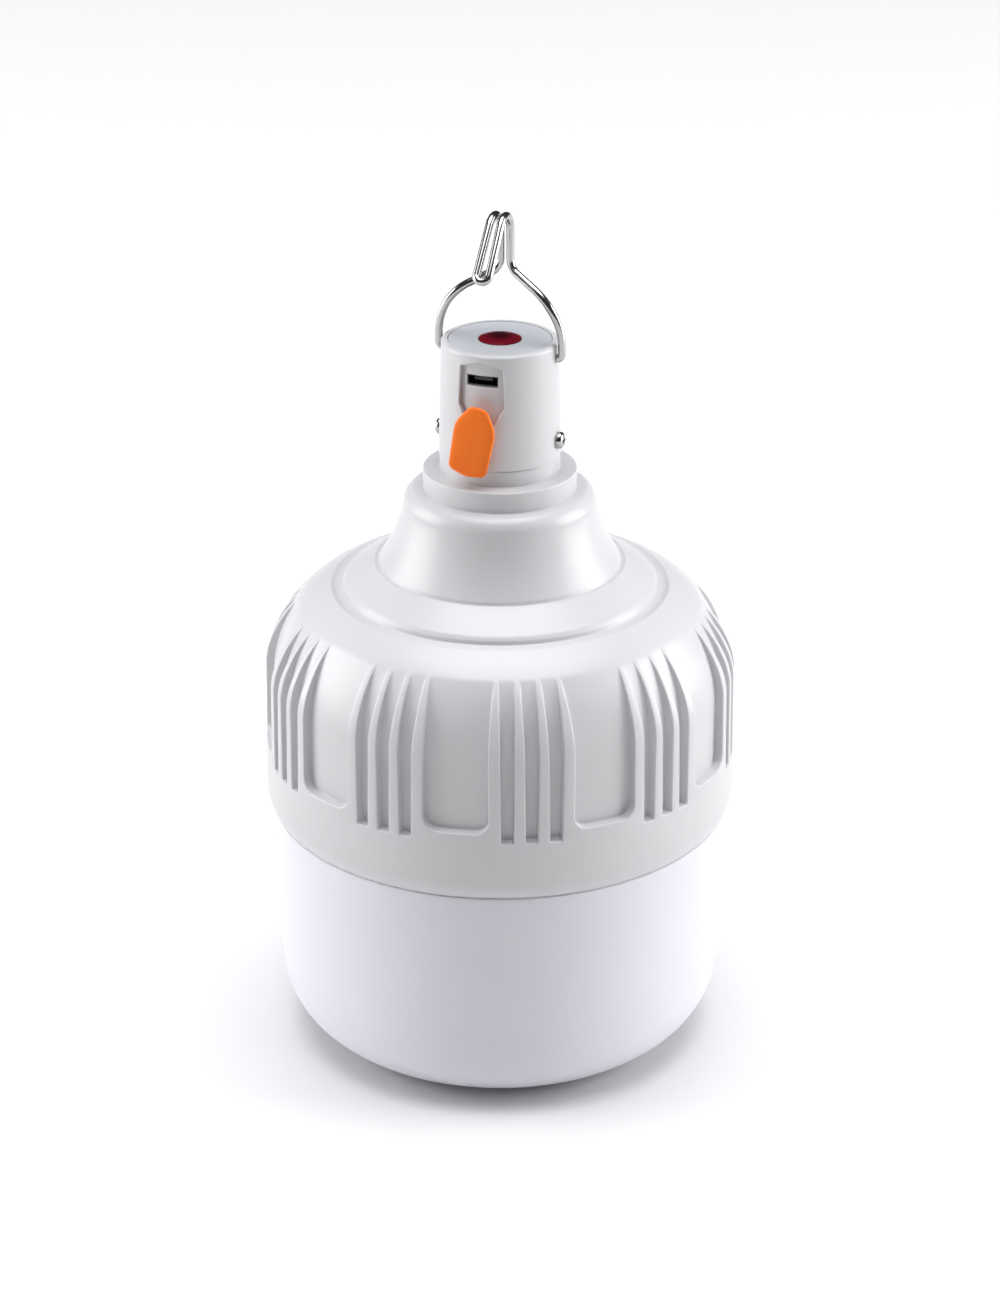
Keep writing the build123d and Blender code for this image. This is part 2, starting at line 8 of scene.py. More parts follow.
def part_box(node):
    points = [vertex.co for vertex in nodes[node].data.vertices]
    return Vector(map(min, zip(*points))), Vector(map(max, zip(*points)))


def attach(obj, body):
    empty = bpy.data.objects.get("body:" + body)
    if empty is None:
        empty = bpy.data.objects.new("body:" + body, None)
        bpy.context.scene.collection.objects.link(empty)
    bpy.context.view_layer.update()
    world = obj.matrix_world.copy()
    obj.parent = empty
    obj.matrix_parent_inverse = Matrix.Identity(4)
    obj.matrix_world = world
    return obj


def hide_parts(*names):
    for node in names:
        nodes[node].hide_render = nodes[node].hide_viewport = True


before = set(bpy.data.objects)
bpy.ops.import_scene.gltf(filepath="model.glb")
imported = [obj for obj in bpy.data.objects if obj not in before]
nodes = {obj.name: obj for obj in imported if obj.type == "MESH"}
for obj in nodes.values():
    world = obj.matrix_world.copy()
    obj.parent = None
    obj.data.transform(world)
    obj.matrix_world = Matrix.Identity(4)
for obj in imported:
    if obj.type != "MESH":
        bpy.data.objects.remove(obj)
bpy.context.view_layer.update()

# ---------------------------------------------------------------- places, from the CAD frame
MM = 0.001
BOARD_ABOVE_RIM = 0.003
RIM_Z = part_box("led_board")[0].z - BOARD_ABOVE_RIM    # where the diffuser meets the housing

# ---------------------------------------------------------------- camera
CAMERA_AZIMUTH = radians(19.0)                # from the port towards +X
CAMERA_ELEVATION = radians(24.25)
CAMERA_DISTANCE = 0.889
CAMERA_TARGET_ABOVE_RIM = 0.0405
SENSOR_HEIGHT = 36.0                          # millimetres, like the lens
CAMERA_LENS = 96.8


def make_camera():
    """Camera at the lamp's front right, looking down on it."""
    data = bpy.data.cameras.new("camera")
    data.sensor_fit = "VERTICAL"
    data.sensor_height = SENSOR_HEIGHT
    data.lens = CAMERA_LENS
    data.clip_start = 0.01
    camera = bpy.data.objects.new("camera", data)
    bpy.context.scene.collection.objects.link(camera)
    target = Vector((0, 0, RIM_Z + CAMERA_TARGET_ABOVE_RIM))
    away = Vector((
        sin(CAMERA_AZIMUTH) * cos(CAMERA_ELEVATION),
        -cos(CAMERA_AZIMUTH) * cos(CAMERA_ELEVATION),
        sin(CAMERA_ELEVATION),
    ))
    camera.location = target + away * CAMERA_DISTANCE
    camera.rotation_euler = (-away).to_track_quat("-Z", "Y").to_euler()
    bpy.context.scene.camera = camera


# ---------------------------------------------------------------- light and floor
SURROUND_TINT = (0.985, 0.98, 1.0, 1)
HORIZON_LIGHT = 0.05
CEILING_LIGHT = 6.0
CEILING_EDGE = 0.85            # cosine of the angle from the ceiling's middle to its dim edge
CEILING_CORE = 0.96            # the same, to where it shines fully
CEILING_LEAN = radians(1)      # the bright ceiling leans a little away from the camera
SOFTBOX_LEFT = -95             # azimuths from the camera's, in degrees
SOFTBOX_RIGHT = 93
SOFTBOX_ELEVATION = 8
SOFTBOX_DISTANCE = 1.3
SOFTBOX_WIDTH = 0.9
SOFTBOX_HEIGHT = 1.4
SOFTBOX_AIM_Z = 0.11
LEFT_POWER = 21
RIGHT_POWER = LEFT_POWER * 1.15
FLOOR_RADIUS = 6.0
FLOOR_DROP = 0.0005            # keeps the floor clear of the diffuser's underside


def softbox(name, azimuth, power):
    """Rectangular light that faces the lamp, at an azimuth counted from the camera's."""
    data = bpy.data.lights.new(name, "AREA")
    data.shape = "RECTANGLE"
    data.size = SOFTBOX_WIDTH
    data.size_y = SOFTBOX_HEIGHT
    data.energy = power
    light = bpy.data.objects.new(name, data)
    bpy.context.scene.collection.objects.link(light)
    turn = CAMERA_AZIMUTH + radians(azimuth)
    rise = radians(SOFTBOX_ELEVATION)
    away = Vector((sin(turn) * cos(rise), -cos(turn) * cos(rise), sin(rise)))
    light.location = Vector((0, 0, SOFTBOX_AIM_Z)) + away * SOFTBOX_DISTANCE
    light.rotation_euler = (-away).to_track_quat("-Z", "Y").to_euler()


def make_studio():
    """Pale floor, a bright ceiling that fades to a dim horizon, and softboxes at the sides."""
    world = bpy.data.worlds.new("surround")
    world.use_nodes = True
    tree = world.node_tree
    background = tree.nodes["Background"]
    background.inputs["Color"].default_value = SURROUND_TINT
    coords = tree.nodes.new("ShaderNodeTexCoord")
    toward = tree.nodes.new("ShaderNodeVectorMath")
    toward.operation = "DOT_PRODUCT"
    toward.inputs[1].default_value = (
        -sin(CAMERA_AZIMUTH) * sin(CEILING_LEAN),
        cos(CAMERA_AZIMUTH) * sin(CEILING_LEAN),
        cos(CEILING_LEAN),
    )
    ceiling = tree.nodes.new("ShaderNodeMapRange")
    ceiling.interpolation_type = "SMOOTHSTEP"
    ceiling.inputs["From Min"].default_value = CEILING_EDGE
    ceiling.inputs["From Max"].default_value = CEILING_CORE
    ceiling.inputs["To Min"].default_value = HORIZON_LIGHT
    ceiling.inputs["To Max"].default_value = CEILING_LIGHT
    tree.links.new(coords.outputs["Generated"], toward.inputs[0])
    tree.links.new(toward.outputs["Value"], ceiling.inputs["Value"])
    tree.links.new(ceiling.outputs["Result"], background.inputs["Strength"])
    bpy.context.scene.world = world
    softbox("softbox_left", SOFTBOX_LEFT, LEFT_POWER)
    softbox("softbox_right", SOFTBOX_RIGHT, RIGHT_POWER)

    bpy.ops.mesh.primitive_circle_add(
        vertices=96, radius=FLOOR_RADIUS, fill_type="NGON", location=(0, 0, -FLOOR_DROP)
    )
    floor = bpy.context.object
    floor.name = "floor"
    floor.data.materials.append(floor_material())
    bpy.context.scene.view_settings.view_transform = "Standard"


# ---------------------------------------------------------------- materials
WHITE = (0.57, 0.57, 0.585)
STEEL = (0.52, 0.51, 0.50)
STEEL_ROUGHNESS = 0.15
MILKY = (0.79, 0.787, 0.87)
MILKY_DEPTH = 0.008            # metres that light spreads under the surface
# painted light: the button's colour runs from a painted shade in its middle to a painted highlight
# at its rim
PAINTED_SHADE_RED = (0.03, 0.0008, 0.003)
PAINTED_LIT_RED = (0.14, 0.004, 0.012)
BUTTON_ROUGHNESS = 0.2
PAINTED_SHADE_REACH = 0.0012     # metres from the lamp's axis where the painted highlight on the button starts
PAINTED_LIT_REACH = 0.0046    # and where that painted highlight is strongest
TONE_SCALE = 45.0              # noise scales of every finish, per metre
GLOSS_SCALE = 150.0
TRACK_SCALE = 420.0            # circuit tracks per metre, and the share of a cell they leave free
TRACK_EDGE = 0.38


def new_material(name, color, roughness, metallic=0.0, **more):
    """Principled material; returns it with its tree and shader."""
    material = bpy.data.materials.new(name)
    material.use_nodes = True
    tree = material.node_tree
    shader = tree.nodes["Principled BSDF"]
    shader.inputs["Base Color"].default_value = (*color, 1)
    shader.inputs["Roughness"].default_value = roughness
    shader.inputs["Metallic"].default_value = metallic
    for socket, value in more.items():
        shader.inputs[socket.replace("_", " ")].default_value = value
    return material, tree, shader


def scaled_color(color, share):
    """Darker tone of a colour."""
    return tuple(c * share for c in color)


def noise(tree, scale, detail=4.0, stretch=(1.0, 1.0, 1.0)):
    """Noise in the object's own space; stretch above 1 makes it finer along that axis."""
    coords = tree.nodes.new("ShaderNodeTexCoord")
    scaled = tree.nodes.new("ShaderNodeVectorMath")
    scaled.operation = "MULTIPLY"
    scaled.inputs[1].default_value = stretch
    node = tree.nodes.new("ShaderNodeTexNoise")
    node.inputs["Scale"].default_value = scale
    node.inputs["Detail"].default_value = detail
    tree.links.new(coords.outputs["Object"], scaled.inputs[0])
    tree.links.new(scaled.outputs["Vector"], node.inputs["Vector"])
    return node.outputs["Fac"]


def around(tree, source, middle, spread):
    """Value that varies by the spread about a middle, from a source that varies about 0.5."""
    node = tree.nodes.new("ShaderNodeMath")
    node.operation = "MULTIPLY_ADD"
    node.inputs[1].default_value = spread * 2
    node.inputs[2].default_value = middle - spread
    tree.links.new(source, node.inputs[0])
    return node.outputs["Value"]


def tinted(tree, source, color, other):
    """Colour that drifts from one tone to another with a source."""
    node = tree.nodes.new("ShaderNodeMix")
    node.data_type = "RGBA"
    node.inputs["A"].default_value = (*color, 1)
    node.inputs["B"].default_value = (*other, 1)
    tree.links.new(source, node.inputs["Factor"])
    return node.outputs["Result"]


def raised(tree, shader, source, strength, depth):
    """Fine relief; a second call adds to the first."""
    node = tree.nodes.new("ShaderNodeBump")
    node.inputs["Strength"].default_value = strength
    node.inputs["Distance"].default_value = depth
    if shader.inputs["Normal"].is_linked:
        tree.links.new(shader.inputs["Normal"].links[0].from_socket, node.inputs["Normal"])
    tree.links.new(source, node.inputs["Height"])
    tree.links.new(node.outputs["Normal"], shader.inputs["Normal"])


def finish(name, color, roughness, other=None, grain=900.0, relief=0.00002, uneven=0.05,
           stretch=(1.0, 1.0, 1.0), **more):
    """Material with drifting tone, uneven gloss and a fine grain, all scaled by the stretch."""
    material, tree, shader = new_material(name, color, roughness, **more)
    if other is None:
        other = scaled_color(color, 0.93)
    broad = noise(tree, TONE_SCALE, 3.0, stretch)
    tree.links.new(tinted(tree, broad, color, other), shader.inputs["Base Color"])
    patchy = noise(tree, GLOSS_SCALE, 5.0, stretch)
    tree.links.new(around(tree, patchy, roughness, uneven), shader.inputs["Roughness"])
    raised(tree, shader, noise(tree, grain, 3.0, stretch), 0.3, relief)
    return material


def floor_material():
    """Seamless studio paper."""
    return finish("floor_paper", (0.72, 0.72, 0.72), 0.9, other=(0.71, 0.71, 0.71), grain=400.0)


def circuit_board(name, mask, track, roughness):
    """Solder mask with tracks that stand out a little in tone and height."""
    material, tree, shader = new_material(name, mask, roughness)
    coords = tree.nodes.new("ShaderNodeTexCoord")
    cells = tree.nodes.new("ShaderNodeTexVoronoi")
    cells.distance = "CHEBYCHEV"
    cells.inputs["Scale"].default_value = TRACK_SCALE
    tree.links.new(coords.outputs["Object"], cells.inputs["Vector"])
    edge = tree.nodes.new("ShaderNodeMath")
    edge.operation = "GREATER_THAN"
    edge.inputs[1].default_value = TRACK_EDGE
    tree.links.new(cells.outputs["Distance"], edge.inputs[0])
    tree.links.new(tinted(tree, edge.outputs["Value"], mask, track), shader.inputs["Base Color"])
    raised(tree, shader, edge.outputs["Value"], 0.5, 0.00004)
    gloss = around(tree, noise(tree, 300.0), roughness, 0.08)
    tree.links.new(gloss, shader.inputs["Roughness"])
    return material


def translucent(name, color, depth, **more):
    """Milky plastic that lets light in, with a frosted grain."""
    return finish(
        name, color, 0.42, other=scaled_color(color, 0.985), grain=1400.0, relief=0.00001,
        Subsurface_Weight=0.5, Subsurface_Radius=(1.0, 1.0, 1.0), Subsurface_Scale=depth, **more,
    )


def drawn_wire(name, color):
    """Bright plated wire with faint drawing marks and an uneven tone."""
    material, tree, shader = new_material(name, color, STEEL_ROUGHNESS, 1.0)
    marks = noise(tree, 500.0, 6.0, (1.0, 1.0, 0.15))
    tree.links.new(around(tree, marks, STEEL_ROUGHNESS, 0.04), shader.inputs["Roughness"])
    tone = tinted(tree, noise(tree, 120.0), color, scaled_color(color, 0.82))
    tree.links.new(tone, shader.inputs["Base Color"])
    return material


def red_lens():
    """Deep red button with painted light: a painted shade in its middle and a painted highlight
    towards its rim.
    """
    material, tree, shader = new_material(
        "red_lens", PAINTED_LIT_RED, BUTTON_ROUGHNESS, Specular_IOR_Level=0.15
    )
    coords = tree.nodes.new("ShaderNodeTexCoord")
    across = tree.nodes.new("ShaderNodeVectorMath")
    across.operation = "MULTIPLY"
    across.inputs[1].default_value = (1.0, 1.0, 0.0)
    reach = tree.nodes.new("ShaderNodeVectorMath")
    reach.operation = "LENGTH"
    share = tree.nodes.new("ShaderNodeMapRange")
    share.interpolation_type = "SMOOTHSTEP"
    share.inputs["From Min"].default_value = PAINTED_SHADE_REACH
    share.inputs["From Max"].default_value = PAINTED_LIT_REACH
    tree.links.new(coords.outputs["Object"], across.inputs[0])
    tree.links.new(across.outputs["Vector"], reach.inputs[0])
    tree.links.new(reach.outputs["Value"], share.inputs["Value"])
    # painted highlight: the red is painted lighter from the middle out to the rim
    color = tinted(tree, share.outputs["Result"], PAINTED_SHADE_RED, PAINTED_LIT_RED)
    tree.links.new(color, shader.inputs["Base Color"])
    gloss = around(tree, noise(tree, 260.0), BUTTON_ROUGHNESS, 0.07)
    tree.links.new(gloss, shader.inputs["Roughness"])
    raised(tree, shader, noise(tree, 700.0), 0.2, 0.00002)
    return material


def paint(node, material):
    """Gives a CAD node one material."""
    mesh = nodes[node].data
    mesh.materials.clear()
    mesh.materials.append(material)
    for polygon in mesh.polygons:
        polygon.material_index = 0


def paint_all():
    """Gives every node its finish; returns the finishes by node."""
    white = finish(
        "white_plastic", WHITE, 0.33, other=scaled_color(WHITE, 0.97), grain=1100.0,
        relief=0.000012,
    )
    steel = drawn_wire("polished_steel", STEEL)
    jackets = {
        "red": finish("red_jacket", (0.5, 0.02, 0.015), 0.4),
        "black": finish("black_jacket", (0.018, 0.018, 0.02), 0.42),
        "white": finish("white_jacket", (0.7, 0.7, 0.68), 0.42),
    }
    wrap = finish("cell_wrap", (0.03, 0.22, 0.2), 0.3, other=(0.025, 0.19, 0.18), grain=250.0)
    nickel = finish(
        "nickel", (0.6, 0.57, 0.52), 0.3, Metallic=1.0, stretch=(1.0, 0.08, 1.0), relief=0.00004
    )
    zinc = finish("zinc_screw", (0.62, 0.62, 0.64), 0.35, Metallic=1.0, uneven=0.1)
    black = finish("black_plastic", (0.02, 0.02, 0.022), 0.45, grain=700.0, relief=0.00005)
    ceramic = finish("ceramic_chip", (0.45, 0.3, 0.17), 0.5, grain=1800.0)
    finishes = {
        "housing": white,
        "cap_shell": white,
        "diffuser": translucent("milky_plastic", MILKY, MILKY_DEPTH, Specular_IOR_Level=0.2),
        "cap_top_disc": finish(
            "disc_plastic", (0.47, 0.49, 0.525), 0.5, grain=1500.0, relief=0.00003
        ),
        "hanging_hook": steel,
        "cap_screws": steel,
        "push_button": red_lens(),
        "tact_plunger": black,
        "port_plug": finish(
            "orange_rubber", (0.96, 0.22, 0.012), 0.6, other=(0.8, 0.12, 0.006), grain=1900.0,
            relief=0.00016, uneven=0.08, Specular_IOR_Level=0.25,
        ),
        "usb_shell": finish("socket_steel", (0.14, 0.135, 0.13), 0.35, Metallic=1.0, uneven=0.1),
        "usb_tongue": black,
        "usb_contacts": finish("gold_contact", (0.85, 0.6, 0.25), 0.25, Metallic=1.0),
        "control_board": circuit_board(
            "green_board", (0.01, 0.14, 0.05), (0.02, 0.24, 0.08), 0.35
        ),
        "tact_switch": black,
        "charge_led": finish("clear_led", (0.75, 0.8, 0.72), 0.12, Transmission_Weight=0.4),
        "charge_ic": black,
        "inductor": finish("ferrite", (0.06, 0.06, 0.065), 0.6, grain=1600.0, relief=0.0001),
        "capacitors": ceramic,
        "battery_cell_front": wrap,
        "battery_cell_rear": wrap,
        "nickel_strip_left": nickel,
        "nickel_strip_right": nickel,
        "battery_tray": black,
        "battery_strap": black,
        "tray_screws": zinc,
        "led_plate": finish(
            "plate_aluminium", (0.72, 0.73, 0.74), 0.36, Metallic=1.0, stretch=(0.06, 1.0, 1.0),
            relief=0.00004, uneven=0.1,
        ),
        "led_board": circuit_board("white_board", (0.75, 0.76, 0.76), (0.68, 0.69, 0.69), 0.4),
        "led_emitters": finish(
            "yellow_phosphor", (0.82, 0.68, 0.12), 0.5, other=(0.86, 0.74, 0.2), grain=2500.0,
            relief=0.0001,
        ),
        "plate_screws": zinc,
        "battery_lead_positive": jackets["red"],
        "battery_lead_negative": jackets["black"],
        "light_lead_positive": jackets["red"],
        "light_lead_negative": jackets["white"],
    }
    for node, material in finishes.items():
        paint(node, material)
    return finishes


# ---------------------------------------------------------------- curves and meshes
# Shapes from here on are in millimetres, with heights above the rim.
STRAIGHT = radians(165)        # a corner more open than this isn't eased
EASED_SHARE = 0.45             # of a run that a corner may take up


def arc(start, middle, end, steps):
    """Points of the circular arc through three points, both ends included."""
    ax, ay = start
    bx, by = middle
    cx, cy = end
    a2 = ax * ax + ay * ay
    b2 = bx * bx + by * by
    c2 = cx * cx + cy * cy
    d = 2 * (ax * (by - cy) + bx * (cy - ay) + cx * (ay - by))
    ux = (a2 * (by - cy) + b2 * (cy - ay) + c2 * (ay - by)) / d
    uy = (a2 * (cx - bx) + b2 * (ax - cx) + c2 * (bx - ax)) / d
    first = atan2(ay - uy, ax - ux)
    last = atan2(cy - uy, cx - ux)
    turn = (last - first + pi) % (2 * pi) - pi
    radius = hypot(ax - ux, ay - uy)
    angles = [first + turn * i / steps for i in range(steps + 1)]
    return [(ux + radius * cos(angle), uy + radius * sin(angle)) for angle in angles]


def eased(points, reach):
    """Profile with each sharp corner replaced by a short curve."""
    out = [points[0]]
    for before, corner, after in zip(points, points[1:], points[2:]):
        a = Vector(before) - Vector(corner)
        b = Vector(after) - Vector(corner)
        if a.angle(b) > STRAIGHT:
            out.append(corner)
            continue
        cut = min(reach, a.length * EASED_SHARE, b.length * EASED_SHARE)
        start = Vector(corner) + a.normalized() * cut
        end = Vector(corner) + b.normalized() * cut
        for t in (0.0, 0.25, 0.5, 0.75, 1.0):
            p = start.lerp(Vector(corner), t).lerp(Vector(corner).lerp(end, t), t)
            out.append((p.x, p.y))
    out.append(points[-1])
    return out


def rounded(points, bends, closed=False, steps=10):
    """Points of a bent path: straight runs joined by arcs of the given radii."""
    points = [Vector(p) for p in points]
    corners = range(len(points)) if closed else range(1, len(points) - 1)
    out = [] if closed else [points[0]]
    for index, radius in zip(corners, bends):
        corner = points[index]
        back = (points[index - 1] - corner).normalized()
        ahead = (points[(index + 1) % len(points)] - corner).normalized()
        half = back.angle(ahead) / 2
        centre = corner + (back + ahead).normalized() * radius / sin(half)
        start = corner + back * radius / tan(half) - centre
        end = corner + ahead * radius / tan(half) - centre
        sweep = start.angle(end)
        for i in range(steps + 1):
            t = i / steps
            out.append(centre + (start * sin((1 - t) * sweep) + end * sin(t * sweep)) / sin(sweep))
    return out if closed else out + [points[-1]]


def ring_faces(rings, count, first=0, joined=True):
    """Faces between neighbouring rings of points; joined adds those from last ring to first."""
    faces = []
    for ring in range(rings if joined else rings - 1):
        lower = first + ring * count
        upper = first + (ring + 1) % rings * count
        for i in range(count):
            j = (i + 1) % count
            faces.append((lower + i, lower + j, upper + j, upper + i))
    return faces


def new_piece(name, vertices, faces, turn_out=False):
    """Smooth-shaded object; turn_out makes every face point outwards."""
    mesh = bpy.data.meshes.new(name)
    mesh.from_pydata(vertices, [], faces)
    mesh.validate()
    mesh.update()
    if turn_out:
        work = bmesh.new()
        work.from_mesh(mesh)
        bmesh.ops.recalc_face_normals(work, faces=work.faces)
        work.to_mesh(mesh)
        work.free()
    mesh.shade_smooth()
    piece = bpy.data.objects.new(name, mesh)
    bpy.context.scene.collection.objects.link(piece)
    return piece


def turned_mesh(name, loop, columns=192):
    """Closed mesh turned about the lamp's axis from a closed loop of (radius, height)."""
    vertices = []
    for r, z in loop:
        for i in range(columns):
            turn = 2 * pi * i / columns
            vertices.append((r * sin(turn) * MM, -r * cos(turn) * MM, RIM_Z + z * MM))
    return new_piece(name, vertices, ring_faces(len(loop), columns))


def lofted(name, lofts):
    """One mesh of several closed bodies, each given as rings of equally many points."""
    vertices, faces = [], []
    for rings in lofts:
        first = len(vertices)
        count = len(rings[0])
        for ring in rings:
            vertices += [(p[0] * MM, p[1] * MM, RIM_Z + p[2] * MM) for p in ring]
        faces += ring_faces(len(rings), count, first, joined=False)
        faces.append(tuple(range(first + count - 1, first - 1, -1)))
        faces.append(tuple(range(first + (len(rings) - 1) * count, len(vertices))))
    return new_piece(name, vertices, faces, turn_out=True)


# ---------------------------------------------------------------- housing skin
UNITS = 10
UNIT_ANGLE = 36.0
GROUP_AZIMUTH = 26.5           # middle of one fin group, from the port towards +X
FIN_PITCH = 5.75
RECESS_TOP_Z = 60.0
FLOOR_LOW_Z = 12.0             # heights between which the recesses have a floor
FLOOR_HIGH_Z = 54.9
LIP = 0.38                     # rounding along the recesses' mouths
FLOOR_FILLET = 0.28
WALL_DRAFT = 0.06              # how far a recess wall leans over its depth
EDGE_STEPS = (-0.38, -0.27, -0.16, -0.06, 0.0, 0.06, 0.14, 0.23, 0.34)
PANEL_SHARES = (0.0, 0.3, 0.6, 0.85)
LEAST_SLOPE = 0.28             # keeps the columns together round the recesses' lower corners
LEAST_SLOT_SLOPE = 0.5
LEAST_SPREAD_RADIUS = 50.0     # further in than this, columns keep their angles
SLOT = {"bottom": 15.8, "low": 1.5, "high": 2.0, "corner": 0.4}
PANEL = {"bottom": 18.3, "low": 8.1, "high": 7.8, "corner": 3.5}


def profile_radius(profile, z):
    """Radius of the recessed part of the profile at a height."""
    for (r0, z0), (r1, z1) in zip(profile, profile[1:]):
        if z0 <= z <= z1:
            return r0 + (r1 - r0) * (z - z0) / (z1 - z0)
    return 0.0


def straight_half_width(kind, z):
    """Half the width of a recess at a height, as if its lower corners were square."""
    share = max(0.0, (z - kind["bottom"]) / (RECESS_TOP_Z - kind["bottom"]))
    return kind["low"] + (kind["high"] - kind["low"]) * share


def half_width(kind, z):
    """Half the width of a recess, narrowed round its lower corners; also the slope there."""
    into = (kind["bottom"] + kind["corner"] - z) / kind["corner"]
    into = min(1.0, max(0.0, into))
    slope = sqrt(1 - into * into)
    half = straight_half_width(kind, z) - kind["corner"] * (1 - slope)
    return half, max(slope, LEAST_SLOPE)


def inside_recess(kind, x, z):
    """Signed distance from the outline of a recess, positive inside it."""
    qx = abs(x) - (straight_half_width(kind, z) - kind["corner"])
    qz = kind["bottom"] + kind["corner"] - z
    if qx > 0 and qz > 0:
        return kind["corner"] - hypot(qx, qz)
    return kind["corner"] - max(qx, qz)


def sunk(s, depth):
    """How far the surface lies below the outside at a signed distance from a recess outline."""
    if depth <= 0 or s <= -LIP:
        return 0.0
    lip = min(LIP, depth / 2)
    fillet = min(FLOOR_FILLET, depth / 2)
    if s < 0:
        t = (s + LIP) / LIP
        return lip * (1 - sqrt(1 - t * t))
    if s < WALL_DRAFT:
        return lip + (depth - lip - fillet) * s / WALL_DRAFT
    t = min(1.0, (s - WALL_DRAFT) / FLOOR_FILLET)
    return depth - fillet * (1 - sqrt(1 - (1 - t) * (1 - t)))


def unit_columns(z):
    """Columns of one unit at a height: (azimuth of the recess, x from it, recess kind)."""
    panel_half, slope = half_width(PANEL, z)
    edge = [(panel_half - s / slope) for s in reversed(EDGE_STEPS)]
    panel = [edge[0] * share for share in PANEL_SHARES] + edge
    slot_half, slope = half_width(SLOT, z)
    slot_edge = [(slot_half - s / max(slope, LEAST_SLOT_SLOPE)) for s in reversed(EDGE_STEPS)]
    slot = [-x for x in reversed(slot_edge)] + [0.0] + slot_edge
    columns = [(-UNIT_ANGLE / 2, x, PANEL) for x in panel]
    for place in (-1, 0, 1):
        columns += [(place * FIN_PITCH, x, SLOT) for x in slot]
    return columns + [(UNIT_ANGLE / 2, -x, PANEL) for x in reversed(panel[1:])]


def outer_profile():
    """Outside of the housing from the rim to under the cap, as (radius, height)."""
    side = [(57.0, 0.0)] + arc((57.9, 0.0), (59.3, 2.3), (60.0, 5.2), 8)
    rows = set(8.0 + 1.8 * i for i in range(4))
    rows |= {SLOT["bottom"] + s for s in EDGE_STEPS} | {SLOT["bottom"] + 0.5, 16.9, 17.6}
    rows |= {PANEL["bottom"] + s for s in EDGE_STEPS}
    rows |= {PANEL["bottom"] + PANEL["corner"] * (1 - sin(radians(a))) for a in range(0, 75, 8)}
    rows |= {23.5, 26.0, 29.0, 32.0, 35.0}
    side += [(60.0 - 0.4 * (z - 5.2) / 32.4, z) for z in sorted(rows)]
    side += arc((59.6, 37.6), (58.9, 41.7), (57.3, 45.7), 9)[:-1]
    side += arc((57.3, 45.7), (52.4, 52.9), (43.4, 59.2), 26)
    groove = [
        (43.4, 59.2), (42.6, 59.6), (41.9, 59.3), (41.1, 59.2), (39.8, 59.5), (39.5, 60.5),
        (38.7, 61.4),
    ]
    cone = [(36.0, 63.09), (31.5, 65.9), (31.0, 65.6), (30.4, 65.8), (30.1, 66.7)]
    flare = arc((30.1, 66.7), (26.3, 73.8), (24.1, 81.4), 22)
    shoulder = arc((24.1, 81.4), (23.3, 84.0), (21.5, 85.4), 8)
    collar = [
        (19.15, 85.4), (19.15, 88.0), (19.15, 90.7), (15.0, 90.7), (15.0, 94.9), (13.55, 94.9),
    ]
    spigot = [(13.55, 104.3), (11.8, 104.3)]
    upper = eased(groove + cone + flare[1:] + shoulder[1:] + collar + spigot, 0.32)
    return side + upper[1:]


def inner_profile():
    """Inside of the housing, from the spigot's top back to the rim."""
    return (
        [(11.8, 88.0), (19.0, 83.0)] + arc((19.0, 83.0), (22.9, 72.5), (28.5, 63.0), 6)[1:]
        + arc((37.5, 57.0), (49.0, 49.5), (53.0, 36.0), 8) + [(53.0, 5.5), (55.2, 5.5), (55.2, 0.0)]
    )


def housing_skin():
    """Finned housing with softened edges, as one closed mesh."""
    floor = [(57.5, FLOOR_LOW_Z), (57.5, 36.0)]
    floor += arc((57.5, 36.0), (55.3, 46.4), (50.3, FLOOR_HIGH_Z), 40)[1:]
    rows = [(r, z, True) for r, z in outer_profile()] + [(r, z, False) for r, z in inner_profile()]
    vertices = []
    for r, z, outside in rows:
        columns = unit_columns(min(z, RECESS_TOP_Z))
        depth = 0.0
        if outside and FLOOR_LOW_Z < z < FLOOR_HIGH_Z:
            depth = r - profile_radius(floor, z)
        for unit in range(UNITS):
            for azimuth, x, kind in columns:
                radius = r - sunk(inside_recess(kind, x, z), depth)
                if outside and r > LEAST_SPREAD_RADIUS:
                    spread = asin(x / radius)
                else:
                    spread = asin(x / max(r, LEAST_SPREAD_RADIUS))
                turn = radians(GROUP_AZIMUTH + unit * UNIT_ANGLE + azimuth) + spread
                vertices.append((radius * sin(turn) * MM, -radius * cos(turn) * MM, RIM_Z + z * MM))
    faces = ring_faces(len(rows), len(vertices) // len(rows))
    skin = new_piece("housing_skin", vertices, faces)
    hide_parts("housing")
    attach(skin, "lamp")
    return skin


# ---------------------------------------------------------------- cap disc
DISC_HOLE = 5.27               # radius
DISC_MIDDLE = 9.0              # radius where the loop of its profile starts
DISC_EDGE = 0.4


def top_disc():
    """The cap's let-in disc with rounded edges, which leave a dark line round it."""
    low = (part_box("cap_top_disc")[0].z - RIM_Z) / MM
    high = (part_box("cap_top_disc")[1].z - RIM_Z) / MM
    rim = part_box("cap_top_disc")[1].x / MM
    corners = [
        (DISC_MIDDLE, low), (rim, low), (rim, high), (DISC_MIDDLE, high), (DISC_HOLE, high),
        (DISC_HOLE, low), (DISC_MIDDLE, low),
    ]
    piece = turned_mesh("disc_face", eased(corners, DISC_EDGE)[:-1])
    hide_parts("cap_top_disc")
    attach(piece, "lamp")
    return piece


# ---------------------------------------------------------------- hook
WIRE_RADIUS = 1.0
WIRE_SIDES = 28
HOOK_HALF = [
    (12.6, 0.0, 120.5), (15.9, 0.0, 120.5), (15.9, 0.0, 127.3), (12.4, -0.8, 135.1),
    (1.25, 4.2, 140.8), (1.25, 4.1, 162.6), (1.6, -13.7, 142.8),
]
HOOK_BENDS = [1.25, 16.0, 11.5, 3.9, 4.6, 1.55]


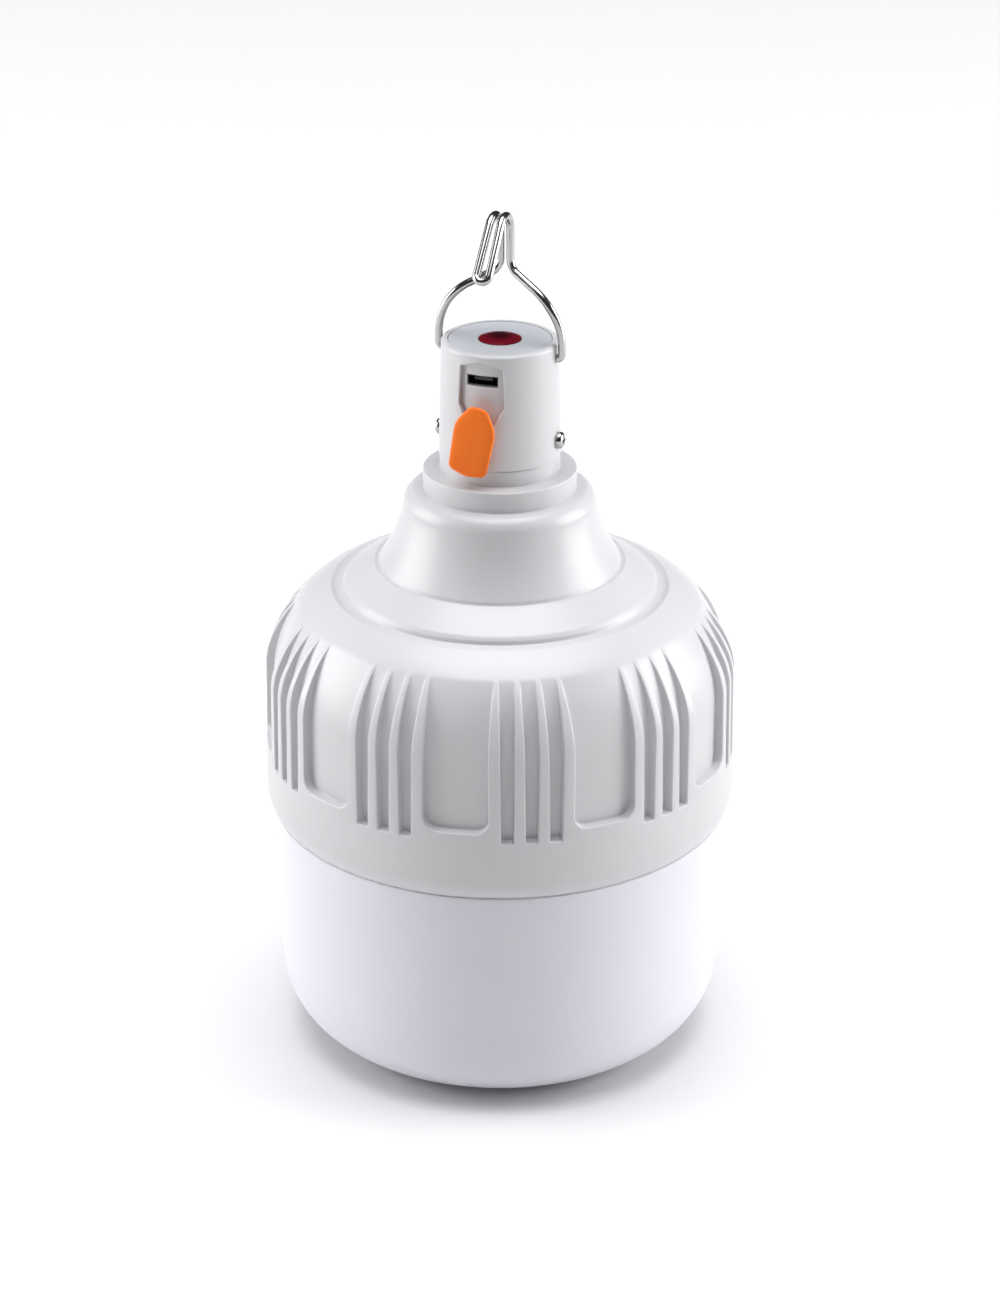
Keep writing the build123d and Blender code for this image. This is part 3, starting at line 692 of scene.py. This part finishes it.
def hook_wire():
    """The bent wire hook as one smooth tube."""
    corners = HOOK_HALF + [(-x, y, z) for x, y, z in reversed(HOOK_HALF)]
    path = rounded(corners, HOOK_BENDS + HOOK_BENDS[::-1], steps=16)
    tangent = (path[1] - path[0]).normalized()
    across = Vector((0, 1, 0))
    turns = [2 * pi * i / WIRE_SIDES for i in range(WIRE_SIDES)]
    rings = []
    for index, point in enumerate(path):
        before = path[max(index - 1, 0)]
        after = path[min(index + 1, len(path) - 1)]
        heading = (after - before).normalized()
        across = tangent.rotation_difference(heading) @ across
        tangent = heading
        side = tangent.cross(across).normalized()
        rings.append([point + (across * cos(t) + side * sin(t)) * WIRE_RADIUS for t in turns])
    piece = lofted("hook_wire", [rings])
    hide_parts("hanging_hook")
    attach(piece, "hook")
    return piece


# ---------------------------------------------------------------- port plug
PLUG_PIN_Z = 108.0
PLUG_TILT = radians(10.5)      # off plumb, foot towards -X
PLATE_CORNERS = [
    (0, 0, -14.1), (-4.9, 0, -12.9), (-5.3, 0, -0.8), (-2.1, 0, 4.3), (2.1, 0, 4.3),
    (5.3, 0, -0.8), (4.9, 0, -12.9),
]
PLATE_BENDS = [5.0, 1.9, 7.0, 2.6, 2.6, 7.0, 1.9]
TONGUE_CORNERS = [(-3.4, 0, -10.4), (-3.4, 0, -8.6), (3.4, 0, -8.6), (3.4, 0, -10.4)]
TONGUE_BEND = 0.6
STEM_SIDES = 32
# Rings from the back to the front: share of the outline's size, and distance from the axis.
PLATE_RINGS = [
    (0.9, 17.5), (0.97, 17.58), (1.0, 17.85), (1.0, 18.15), (0.985, 18.4), (0.955, 18.56),
    (0.9, 18.67), (0.75, 18.79), (0.5, 18.86), (0.25, 18.89), (0.05, 18.9),
]
TONGUE_RINGS = [(0.85, 15.5), (0.97, 15.62), (1.0, 15.9), (1.0, 17.6)]
STEM_RINGS = [(1.2, 10.7), (1.8, 10.85), (1.9, 11.1), (1.9, 11.5), (1.2, 11.62), (1.2, 17.6)]


def soft_plug():
    """Rubber plug with a crowned face and rolled edges, its tongue and its stem."""
    plate = rounded(PLATE_CORNERS, PLATE_BENDS, closed=True)
    tongue = rounded(TONGUE_CORNERS, [TONGUE_BEND] * 4, closed=True)
    turns = [2 * pi * i / STEM_SIDES for i in range(STEM_SIDES)]
    circle = [Vector((cos(turn), 0, sin(turn))) for turn in turns]
    tilt = Matrix.Rotation(PLUG_TILT, 3, "Y")

    def ring(loop, scale, distance):
        middle = sum(loop, Vector()) / len(loop)
        place = Vector((0, -distance, PLUG_PIN_Z))
        return [place + tilt @ (middle + (p - middle) * scale) for p in loop]

    parts = ((plate, PLATE_RINGS), (tongue, TONGUE_RINGS), (circle, STEM_RINGS))
    lofts = [[ring(loop, scale, at) for scale, at in rows] for loop, rows in parts]
    piece = lofted("rubber_plug", lofts)
    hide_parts("port_plug")
    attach(piece, "plug")
    return piece


make_camera()
make_studio()
finishes = paint_all()
housing_skin().data.materials.append(finishes["housing"])
top_disc().data.materials.append(finishes["cap_top_disc"])
hook_wire().data.materials.append(finishes["hanging_hook"])
soft_plug().data.materials.append(finishes["port_plug"])
